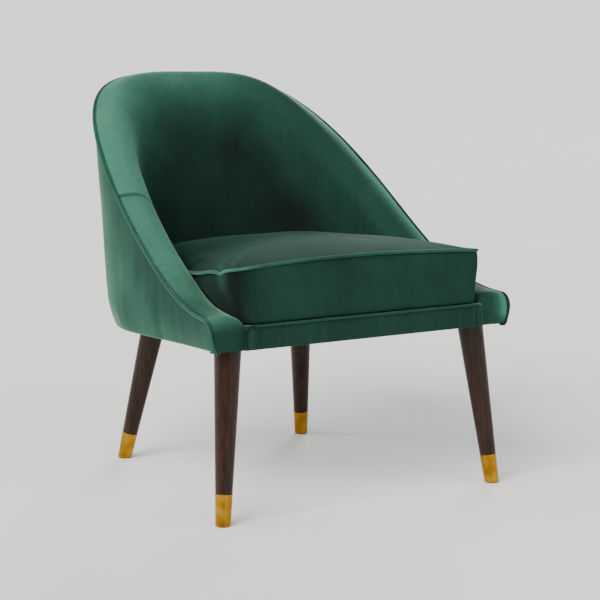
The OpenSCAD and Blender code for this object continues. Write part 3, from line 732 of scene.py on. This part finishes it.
# %% Rim piping
rim_vs = [-1 + 0.0435 * (1 - math.cos(math.pi / 2 * k / 14)) for k in range(14)]
rim_vs += even(-0.9565, 0.9565, 5) + [-v for v in reversed(rim_vs)]
tip = pt(-1, base_z(0), 0)
hook = [Vector((tip.x + x, FRONT_Y + y, tip.z + z)) for x, y, z in
        ((6, 9, -0.6), (3, 4, -1.6), (1, 0.8, -0.8), (0, -0.6, 2))]
down = [pt(-1, tip.z + (rim_z(0) - tip.z) * k / 6, 0) for k in range(1, 6)]
rim_path = hook + down + [pt(v, rim_z(1 - abs(v)), 0) for v in rim_vs]
rim_path += mirrored(hook + down)
rim_cord = cord("rim_piping_cord", rim_path, 3)
# Painted shade: the rim piping is darker over its right part.
hand_over(rim_cord, welt_velvet, "chair", ["rim_piping"],
          painted_light_and_pile=lambda p: 0.15 - 0.9 * smooth((p.x - 60) / 120))


# %% [markdown]
# ## The front rail
# The rail below the cushion is padded and covered in its own strip of velvet, turned over
# the top and under the bottom, with a piping along its top edge that turns down at each end.
# A short band of velvet closes each end, with rows of stitching where it is sewn on.


# %% Rail cover
def seat(x, y, z):
    """A point given on the tilted seat plane: y from the arms' front, z above the plane."""
    a = math.atan(BASE_DROP / DEPTH)
    return Vector((x, FRONT_Y + y * math.cos(a) + z * math.sin(a),
                   BASE_FRONT - y * math.sin(a) + z * math.cos(a)))


def rail_section(x):
    top, run = DECK_Z + 2, []
    run += [(14 - 5 * k, 0.2) for k in range(4)]
    run += [(-RAIL_PROUD + 3 - 3 * math.sin(t), 3.2 - 3 * math.cos(t)) for t in
            [math.pi / 2 * k / 4 for k in range(5)]]
    run += [(-RAIL_PROUD - 1.6 * math.sin(math.pi * k / 12), 3.2 + (top - 7.2) * k / 12)
            for k in range(1, 13)]
    run += [(-RAIL_PROUD + 4 - 4 * math.cos(t), top - 4 + 4 * math.sin(t)) for t in
            [math.pi / 2 * k / 4 for k in range(1, 5)]]
    run += [(-RAIL_PROUD + 4 + 4.5 * k, top) for k in (1, 2, 3)]
    edge = smooth((RAIL_HALF - abs(x)) / 5)
    out = []
    for y, z in run:
        sag = noise.noise(Vector((x / 60, z / 30, 4))) * 0.9 * edge * clip(z / 6)
        out.append(seat(x, y + (1 - edge) * 1.6 - sag, z))
    return out


rail_xs = [-RAIL_HALF + 2 * RAIL_HALF * k / 120 for k in range(121)]
rail = cloth_grid("front_rail_pad", [rail_section(x) for x in rail_xs])
face_towards(rail, (0, -0.3, 0.32), False)
thicken(rail, 2)
# The rail's velvet is set darker all over: painted shade on its front.
hand_over(rail, green_velvet, "chair", ["rail_cover", "rail_foam"], -0.35)

# %% Rail piping
turn = 9
end_x, up = RAIL_HALF - 2.2, DECK_Z + 1.2
rail_path = [seat(-end_x, -RAIL_PROUD - 0.4, 1), seat(-end_x, -RAIL_PROUD - 1.6, 8)]
rail_path += [seat(-end_x, -RAIL_PROUD - 1.9, 8 + (up - turn - 8) * k / 4) for k in range(1, 5)]
rail_path += [seat(-end_x + turn * (1 - math.cos(t)), -RAIL_PROUD - 1.9,
                   up - turn + turn * math.sin(t)) for t in
              [math.pi / 2 * k / 7 for k in range(1, 8)]]
rail_path += [seat(x, -RAIL_PROUD - 1.9 - 0.5 * noise.noise(Vector((x / 45, 0, 2))),
                   up + 0.7 * noise.noise(Vector((x / 60, 5, 0)))) for x in
              [(-end_x + turn) * (1 - k / 40) for k in range(1, 40)]]
rail_path += mirrored(rail_path)
for p in rail_path[:7]:  # the left end sits a little further back
    p.y += 3.4
    p.x -= 0.6
rail_cord = cord("front_rail_piping", rail_path, 2.1)
# Painted shade: the rail piping is darker all along and darkest over its left end.
hand_over(rail_cord, welt_velvet, "chair", ["rail_piping"],
          painted_light_and_pile=lambda p: -0.25 - 0.7 * smooth((18 - RAIL_HALF - p.x) / 10))


# %% End bands with their stitching
def band_rows(sign):
    x0, x1 = RAIL_HALF - BAND_W, RAIL_HALF - 4.6
    rows = []
    for i in range(27):
        x = x0 + (x1 - x0) * i / 26
        edge = min(x - x0, x1 - x)
        lift = 1.5 * math.sqrt(clip(edge / 1.6)) + 0.2
        for at in (2.6, 5.4, 8.2):
            lift += 1.7 * math.exp(-((x - x0 - at) / 0.55) ** 2) - 0.5 * math.exp(
                -((x - x0 - at - 1.4) / 0.5) ** 2)
        rows.append([seat(sign * x, -RAIL_PROUD - lift - 1.5 * math.sin(math.pi * k / 24),
                          1.0 + (DECK_Z - 2.6) * k / 24) for k in range(25)])
    return rows


for side, sign in (("left", -1), ("right", 1)):
    band = cloth_grid("rail_end_band_" + side, band_rows(sign))
    face_towards(band, (0, 0, 0.32), False)
    thicken(band, 1.2)
    # The end bands are set a little darker: painted shade.
    hand_over(band, green_velvet, "chair", ["end_band_" + side], -0.1)


# %% [markdown]
# ## The seat cushion
# A box cushion: a crowned top, a boxing all round and a flat bottom, with piping in both
# seams. Its sides lean with the arms, swell where they stand above them, and its front leans
# back. The outline is walked as rings of points, then stacked into one closed form.


# %% Cushion outline
def cushion_side(v, up, inset):
    u = 1 - abs(v)
    grow = wall(u) + WALL_GROW * (rim_z(u) + RIM_RISE - base_z(u) - up)
    z = level_z(v, up, grow)
    swell = 22 * smooth((z - rim_z(u) - RIM_RISE + 18) / 88)
    return pt(v, z, wall_at(u, z) + 2.9 - swell + inset)


side_u = SIDE_PART * CUSH_R / ARM_LEN
side_vs = even(-1 + side_u, 1 - side_u, 6)


def ring(up, inset):
    """One loop of the cushion at a height over the seat plane."""
    side = [cushion_side(v, up, inset) for v in side_vs]
    a, r, s = side[0], CUSH_R - inset, clip((up - CUSH_Z) / CUSH_T)
    y1 = FRONT_Y - 4 + inset + 24 * s
    fat = 5 * math.sin(math.pi * s) + 3 * s
    sq = 0.55 + 0.25 * s
    corner = [Vector((a.x + 0.75 * r * (1 - math.sin(t) ** sq), a.y - (a.y - y1) *
                      math.cos(t) ** sq, a.z + 1.5 * math.cos(t))) for t in
              [math.pi / 2 * k / 8 for k in range(1, 8)]]
    front = [Vector((f * (-a.x - 0.75 * r), y1 - fat * (1 - f * f), a.z + 1.5 + 8 * s *
                     (1 - f * f))) for f in [1 - 2 * k / 84 for k in range(85)]]
    loop = corner + side + mirrored(corner) + front
    return [settle_corner(p, s) for p in loop]


def settle_corner(p, s):
    """The left front corner is sat out: it spreads, drops and gathers in small folds."""
    near = math.exp(-(((p.x + 268) / 62) ** 2 + ((p.y + 335) / 70) ** 2))
    edge = smooth((-150 - p.x) / 100)
    side = smooth((60 - p.x) / 340) * smooth((p.y + 350) / 230) * (
        1 - smooth((p.y + 120) / 200)) * s * s
    gather = 4.5 * math.exp(-((p.y + 290) / 26) ** 2) + 2.5 * math.exp(-((p.y + 300) / 8) ** 2)
    q = p + Vector((-7 * near * s, 2 * near * s, -1.5 * near * s * s - 23 * side -
                    gather * edge * s ** 4))
    fold = math.exp(-((p.x + 246) / 26) ** 2) * clip((-300 - p.y) / 20) * math.sin(math.pi * clip(
        s * 1.05)) * clip(s + 0.25)
    q.y += 2.8 * fold * clip(s * 1.6 - 0.2) * math.cos((p.x + 259) / 26 * math.pi)
    return q


print(len(ring(CUSH_Z, 0)), "points round the cushion")

# %% Cushion body
WELT = CUSH_Z + CUSH_T
rings = [ring(CUSH_Z - 0.5, 40 * (1 - k / 4) + 3.5) for k in range(1, 5)]
inner = rings[0]
centre = sum(inner, Vector()) / len(inner)
rings = [[centre + (p - centre) * f for p in inner] for f in (0.15, 0.3, 0.45, 0.6, 0.75, 0.88)
         ] + rings
rings += [ring(CUSH_Z - 0.5, 4.4), ring(CUSH_Z + 0.4, 2.0)]
for k in range(1, 23):
    f = k / 23
    puff = 1.6 * math.sin(math.pi * f) ** 0.5
    rings.append(ring(CUSH_Z + 0.4 + (CUSH_T - 0.4) * f, 1.4 - puff))
rings += [ring(WELT, 2.2)]
lip = ring(WELT, 3.2)
mid = Vector([(min(along) + max(along)) / 2 for along in zip(*lip)])


def crowned(p, f):
    """A point of the top: the lip's waves die out towards the middle, where it is highest."""
    q = mid + (p - mid) * f
    wave = p.z - mid.z + BASE_DROP * (p.y - mid.y) / DEPTH
    q.z += wave * (f ** 2.2 - f) + CROWN * (1 - f ** 3.2)
    return q


shares = [0.995] + [1 - k / (TOP_RINGS + 0.5) for k in range(1, TOP_RINGS)]
rings += [[crowned(p, f) for p in lip] for f in shares]
cushion = cloth_grid("seat_cushion", rings, closed=True, caps=(0, -1))
crown = cushion.vertex_groups.new(name="crown")
crown_start = (len(rings) - (TOP_RINGS - 2)) * len(lip)
crown.add(list(range(crown_start, len(cushion.data.vertices))), 1.0, "REPLACE")
ease = cushion.modifiers.new("ease the crown", "SMOOTH")
ease.factor, ease.iterations, ease.vertex_group = 0.5, 60, "crown"
apply_all(cushion)
report(cushion)

# %% [markdown]
# ## Filling the cushion
# Stuffing presses the cover out from the inside, and the cover is held at its seams. Cloth
# simulation does the same: pressure inside, no gravity, and pins on the bottom panel and beside
# the top piping. How far a point may move is capped, so the cushion keeps the frame's size.


# %% Fill by simulation
def fill_with_air(obj, held, pressure, cap, frames=20):
    rest = [v.co.copy() for v in obj.data.vertices]
    pins = obj.vertex_groups.new(name="held by seams")
    pins.add([i for i, p in enumerate(rest) if held(p * 1000)], 1.0, "REPLACE")
    mod = obj.modifiers.new("filling", "CLOTH")
    cloth = mod.settings
    cloth.quality, cloth.mass = 6, 0.25
    cloth.use_pressure, cloth.uniform_pressure_force = True, pressure
    cloth.tension_stiffness = cloth.compression_stiffness = 22
    cloth.shear_stiffness, cloth.bending_stiffness = 12, 0.4
    cloth.effector_weights.gravity = 0
    cloth.vertex_group_mass = pins.name
    mod.collision_settings.use_collision = False
    mod.point_cache.frame_start, mod.point_cache.frame_end = 1, frames
    for step in range(1, frames + 1):
        bpy.context.scene.frame_set(step)
        bpy.context.view_layer.update()
    apply_all(obj)
    bpy.context.scene.frame_set(1)
    far = 0.0
    for v, p in zip(obj.data.vertices, rest):
        d = v.co - p
        if d.length > cap * 0.001:
            v.co = p + d.normalized() * cap * 0.001
        far = max(far, (v.co - p).length)
    obj.data.update()
    print(obj.name, "filled, moved at most", round(far * 1000, 1), "mm")


seam_high = ring(WELT, 2.2)


def held_by_seams(p):
    """True up to 5 mm above the bottom panel, and for points beside the top piping."""
    over = p.z - plane_z(p.y)
    if over < CUSH_Z + 5:
        return True
    return abs(over - WELT) < 14 and min((p - q).length_squared for q in seam_high) < 16


def seat_painted_light_and_mottle(p):
    """Painted shade on top, less on the front boxing and more at its left end, but for a painted
    highlight on one fold there, with random mottling.
    """
    over = p.z - plane_z(p.y)
    top = smooth((over - WELT + 3) / 6)
    turn = 0.85 * p.x - 0.53 * p.y
    end = smooth((20 - turn) / 90)
    fold = math.exp(-((turn + 70) / 8) ** 2) * smooth((over - WELT + 52) / 50)
    front = -0.2 - 0.75 * end - 0.3 * math.exp(-((turn + 40) / 20) ** 2) + 1.5 * fold
    return -0.5 * top + (1 - top) * front + 0.15 * noise.noise(p / 70)


fill_with_air(cushion, held_by_seams, 3.5, 5)
wander(cushion, 1.5, 95, 21)
bpy.ops.object.shade_smooth()
hand_over(cushion, seat_velvet, "cushion",
          ["cushion_core", "cushion_top", "cushion_boxing", "cushion_bottom"], seat_painted_light_and_mottle)

# %% Cushion piping
for name, up in (("top", WELT), ("bottom", CUSH_Z + 3.6)):
    loop = ring(up, 0.2 if name == "top" else 4.6)
    loop = [p + Vector((0, 0, 0.5 * noise.noise(p / 40))) for p in loop]
    piece = cord("cushion_" + name + "_piping", loop, 2.8, closed=True)
    # Painted highlight: both pipings are lighter at the cushion's left front corner.
    hand_over(piece, welt_velvet, "cushion", ["cushion_piping_" + name],
              painted_light_and_pile=lambda p: 0.1 + 0.8 * smooth((-190 - p.x) / 60) * smooth((-290 - p.y) / 30))

# %% [markdown]
# ## The cushion's zip
# Along the back of the boxing runs a zip, so that the cover comes off for cleaning: a tape,
# a nylon coil along its middle, and a metal slider at one end.

# %% Zip
zip_vs, zip_z = even(-0.3, 0.3, 5), CUSH_Z + CUSH_T * 0.35
tape = cloth_grid("cushion_zip_tape", [[cushion_side(v, zip_z + z, -1.6)
                                       for z in (-7, -4, -1.2, -0.4, 0.4, 1.2, 4, 7)]
                                      for v in zip_vs])
face_towards(tape, (0, -0.1, 0.4), False)
thicken(tape, 0.7)
hand_over(tape, dust_cloth, "cushion", ["cushion_zip"])
zip_line = [cushion_side(v, zip_z, -2.4) for v in zip_vs]
coil = cord("cushion_zip_coil", zip_line, 0.9)
hand_over(coil, black_nylon, "cushion")
at = zip_line[-2] * 0.001
bpy.ops.mesh.primitive_cube_add(size=1, location=at)
slider = bpy.context.view_layer.objects.active
slider.name, slider.scale = "cushion_zip_slider", (0.010, 0.003, 0.008)
slider.rotation_euler = (zip_line[-1] - zip_line[-3]).to_track_quat("X", "Z").to_euler()
bpy.ops.object.transform_apply(location=True, rotation=True, scale=True)
rounding = slider.modifiers.new("rounded", "BEVEL")
rounding.width, rounding.segments = 0.0009, 2
apply_all(slider)
hand_over(slider, zinc, "cushion")

# %% [markdown]
# ## Under the cushion
# The deck cloth is stretched over the webbing and tacked down all round. It is one sheet,
# a little lower in the middle of each web space.


# %% Deck cloth and webbing
def seat_grid(x0, x1, y0, y1, step):
    nx, ny = max(2, round((x1 - x0) / step)), max(2, round((y1 - y0) / step))
    return [[(x0 + (x1 - x0) * i / nx, y0 + (y1 - y0) * j / ny) for j in range(ny + 1)]
            for i in range(nx + 1)]


def well_half(y):
    """Half the seat well's width at a distance behind the arms' front, at deck height."""
    best = 0.0
    for v in well_vs:
        p = well_pts[v]
        if p.y - FRONT_Y >= y:
            best = max(best, abs(p.x))
    return best


well_vs = even(-0.94, 0.94, 8)
well_pts = {v: cushion_side(v, DECK_Z + 2, -6) for v in well_vs}
deck_ys = [14 + 476 * k / 70 for k in range(71)]
deck_rows = []
for y in deck_ys:
    half = min(RAIL_HALF - 3, well_half(y))
    if half < 20:
        break
    deck_rows.append([seat(half * f, y, DECK_Z + 2.6 -
                           0.9 * abs(math.sin(half * f / WEB_APART * math.pi))
                           * abs(math.sin((y - WEB_FIRST) / WEB_DEEP * math.pi)))
                      for f in [k / 40 - 1 for k in range(81)]])
deck = cloth_grid("deck_cloth_sheet", deck_rows)
face_towards(deck, (0, 0, 0), False)
thicken(deck, 1.2)
hand_over(deck, deck_cloth, "chair", ["seat_deck"])

# %% [markdown]
# ## The webbing
# Five long straps and four cross straps are woven over and under one another.

# %% Webbing straps
WEAVE = 0.7  # how far a strap rises and falls as it passes over and under the others
straps = []
for k in range(-2, 3):
    x, end = k * WEB_APART, 505 if abs(k) < 2 else 485
    middle = WEB_FIRST + WEB_W / 2
    straps.append([[seat(sx, sy, 37.6 + WEAVE * math.sin((sy - middle) / WEB_DEEP * math.pi +
                                                         k * math.pi)) for sx, sy in line]
                   for line in seat_grid(x - WEB_W / 2, x + WEB_W / 2, 10, end, 6)])
for j in range(4):
    y = WEB_FIRST + WEB_DEEP * j
    straps.append([[seat(sx, sy, 38.6 - WEAVE * math.cos(sx / WEB_APART * math.pi +
                                                         j * math.pi)) for sx, sy in line]
                   for line in seat_grid(-262, 262, y, y + WEB_W, 6)])
made = []
for k, rows in enumerate(straps):
    strap = cloth_grid("strap%d" % k, rows)
    face_towards(strap, (0, 0, 0), False)
    thicken(strap, 1.0)
    made.append(strap)
bpy.ops.object.select_all(action="DESELECT")
for strap in made:
    strap.select_set(True)
bpy.context.view_layer.objects.active = made[0]
bpy.ops.object.join()
webbing = bpy.context.view_layer.objects.active
webbing.name = "webbing_straps"
hand_over(webbing, web_cloth, "chair", ["webbing_long", "webbing_cross"])

# %% [markdown]
# ## The dust cover and its staples
# Turn a chair over and there is a black cloth with its edge folded in, held by staples. The
# cloth is one sheet a little inside the shell's edge.

# %% Dust cover
under_vs = even(-0.975, 0.975, 8)
edge = [pt(v, base_z(1 - abs(v)), 11) for v in under_vs]
edge = [Vector((p.x, p.y, plane_z(p.y) - 0.5)) for p in edge]
front_edge = [edge[-1].lerp(edge[0], k / 60) for k in range(1, 60)]
loop = edge + front_edge
hub = Vector((0, -70, plane_z(-70) + 0.6))
cover_rows = []
for f in (1, 0.985, 0.97, 0.955, 0.9, 0.8, 0.7, 0.6, 0.5, 0.4, 0.3, 0.2, 0.1):
    hem = -0.5 if f > 0.96 else 0.0
    cover_rows.append([Vector((hub.x + (p.x - hub.x) * f, hub.y + (p.y - hub.y) * f, plane_z(
        hub.y + (p.y - hub.y) * f) + hem + 0.3 * noise.noise(p * f / 50))) for p in loop])
dust = cloth_grid("dust_cover_sheet", cover_rows, closed=True, caps=(-1,))
face_towards(dust, (0, 0, -2))
thicken(dust, 0.6)
hand_over(dust, dust_cloth, "chair", ["dust_cover"])

# %% Staples
bpy.ops.object.select_all(action="DESELECT")
bpy.ops.mesh.primitive_cube_add(size=1, location=(0, 0, 0))
one = bpy.context.view_layer.objects.active
bpy.ops.transform.resize(value=(0.010, 0.0009, 0.0007))
bpy.ops.object.transform_apply(location=True, rotation=True, scale=True)
mod = one.modifiers.new("rounded wire", "BEVEL")
mod.width, mod.segments = 0.0002, 2
apply_all(one)
wire = one.data
bm = bmesh.new()
count = 0
for k in range(0, len(loop), 5):
    p, q = loop[k], loop[(k + 1) % len(loop)]
    inward = (hub - p).normalized()
    at = (p + inward * 7) * 0.001
    turn_by = math.atan2(q.y - p.y, q.x - p.x)
    first = len(bm.verts)
    bm.from_mesh(wire)
    bm.verts.ensure_lookup_table()
    for v in bm.verts[first:]:
        x, y, z = v.co
        v.co = Vector((at.x + x * math.cos(turn_by) - y * math.sin(turn_by),
                       at.y + x * math.sin(turn_by) + y * math.cos(turn_by),
                       plane_z(at.y * 1000) * 0.001 - 0.0016 + z))
    count += 1
bm.to_mesh(wire)
bm.free()
one.name = "dust_cover_staples"
hand_over(one, zinc, "chair")
print(count, "staples")

# %% [markdown]
# ## Floor, light and camera
# A plain pale floor and soft studio light: a broad key high on the left, a weak fill from the
# front, so the inside of the shell stays deep, and two weak lights from behind that draw a
# bright edge on the velvet. The floor and the sky behind it are nearly white.

# %% Floor
bpy.ops.object.select_all(action="DESELECT")
bpy.ops.mesh.primitive_circle_add(vertices=96, radius=14, fill_type="NGON", location=(0, 0, 0))
floor = bpy.context.view_layer.objects.active
floor.name = "studio_floor"
mat, shader, where = start("painted studio floor", Roughness=0.9, Specular_IOR_Level=0.1)
tone = ramp(mat, noise_at(mat, where, 400, (1, 1, 1), 2), [(0.3, "#FBFBFA"), (0.7, "#FEFEFD")])
finish_with(mat, shader, tone)
floor.data.materials.append(mat)


# %% Lights
def sun(name, rays, strength, spread, tint):
    bpy.ops.object.light_add(type="SUN", location=(-3, 0, 3))
    lamp = bpy.context.view_layer.objects.active
    lamp.name = name
    lamp.data.energy, lamp.data.angle = strength, math.radians(spread)
    lamp.data.color = colour(tint)[:3]
    lamp.rotation_euler = Vector(rays).to_track_quat("-Z", "Y").to_euler()


sun("left key", (0.74, 0.34, -0.58), 4.1, 46, "#FFF9F0")
sun("front fill", (-0.3, 0.86, -0.42), 1.1, 70, "#FFFFFF")
sun("left edge light", (0.82, -0.46, -0.32), 1.3, 36, "#FFFFFF")
sun("right edge light", (-0.66, -0.66, -0.36), 1.5, 24, "#FFFFFF")
world = bpy.data.worlds.new("studio")
bpy.context.scene.world = world
world.use_nodes = True
tree = world.node_tree
tree.nodes.clear()
out = tree.nodes.new("ShaderNodeOutputWorld")
seen, unseen = tree.nodes.new("ShaderNodeBackground"), tree.nodes.new("ShaderNodeBackground")
for sky, tint, strength in ((seen, (1, 1, 1, 1), 1.42), (unseen, (0.88, 0.97, 1, 1), 0.3)):
    sky.inputs[0].default_value, sky.inputs[1].default_value = tint, strength
pick, path = tree.nodes.new("ShaderNodeMixShader"), tree.nodes.new("ShaderNodeLightPath")
tree.links.new(path.outputs["Is Camera Ray"], pick.inputs[0])
tree.links.new(unseen.outputs[0], pick.inputs[1])
tree.links.new(seen.outputs[0], pick.inputs[2])
tree.links.new(pick.outputs[0], out.inputs[0])

# %% Camera
AZIMUTH, ELEVATION = math.radians(-31.95), math.radians(8.363)
away = Vector((math.sin(AZIMUTH) * math.cos(ELEVATION), -math.cos(AZIMUTH) * math.cos(ELEVATION),
               math.sin(ELEVATION)))
bpy.ops.object.camera_add(location=(-1.7515, -2.933, 0.8294))
camera = bpy.context.view_layer.objects.active
camera.rotation_euler = (-away).to_track_quat("-Z", "Y").to_euler()
camera.data.lens, camera.data.sensor_width = 106.87, 36
bpy.context.scene.camera = camera
print("camera at", [round(x, 3) for x in camera.location])
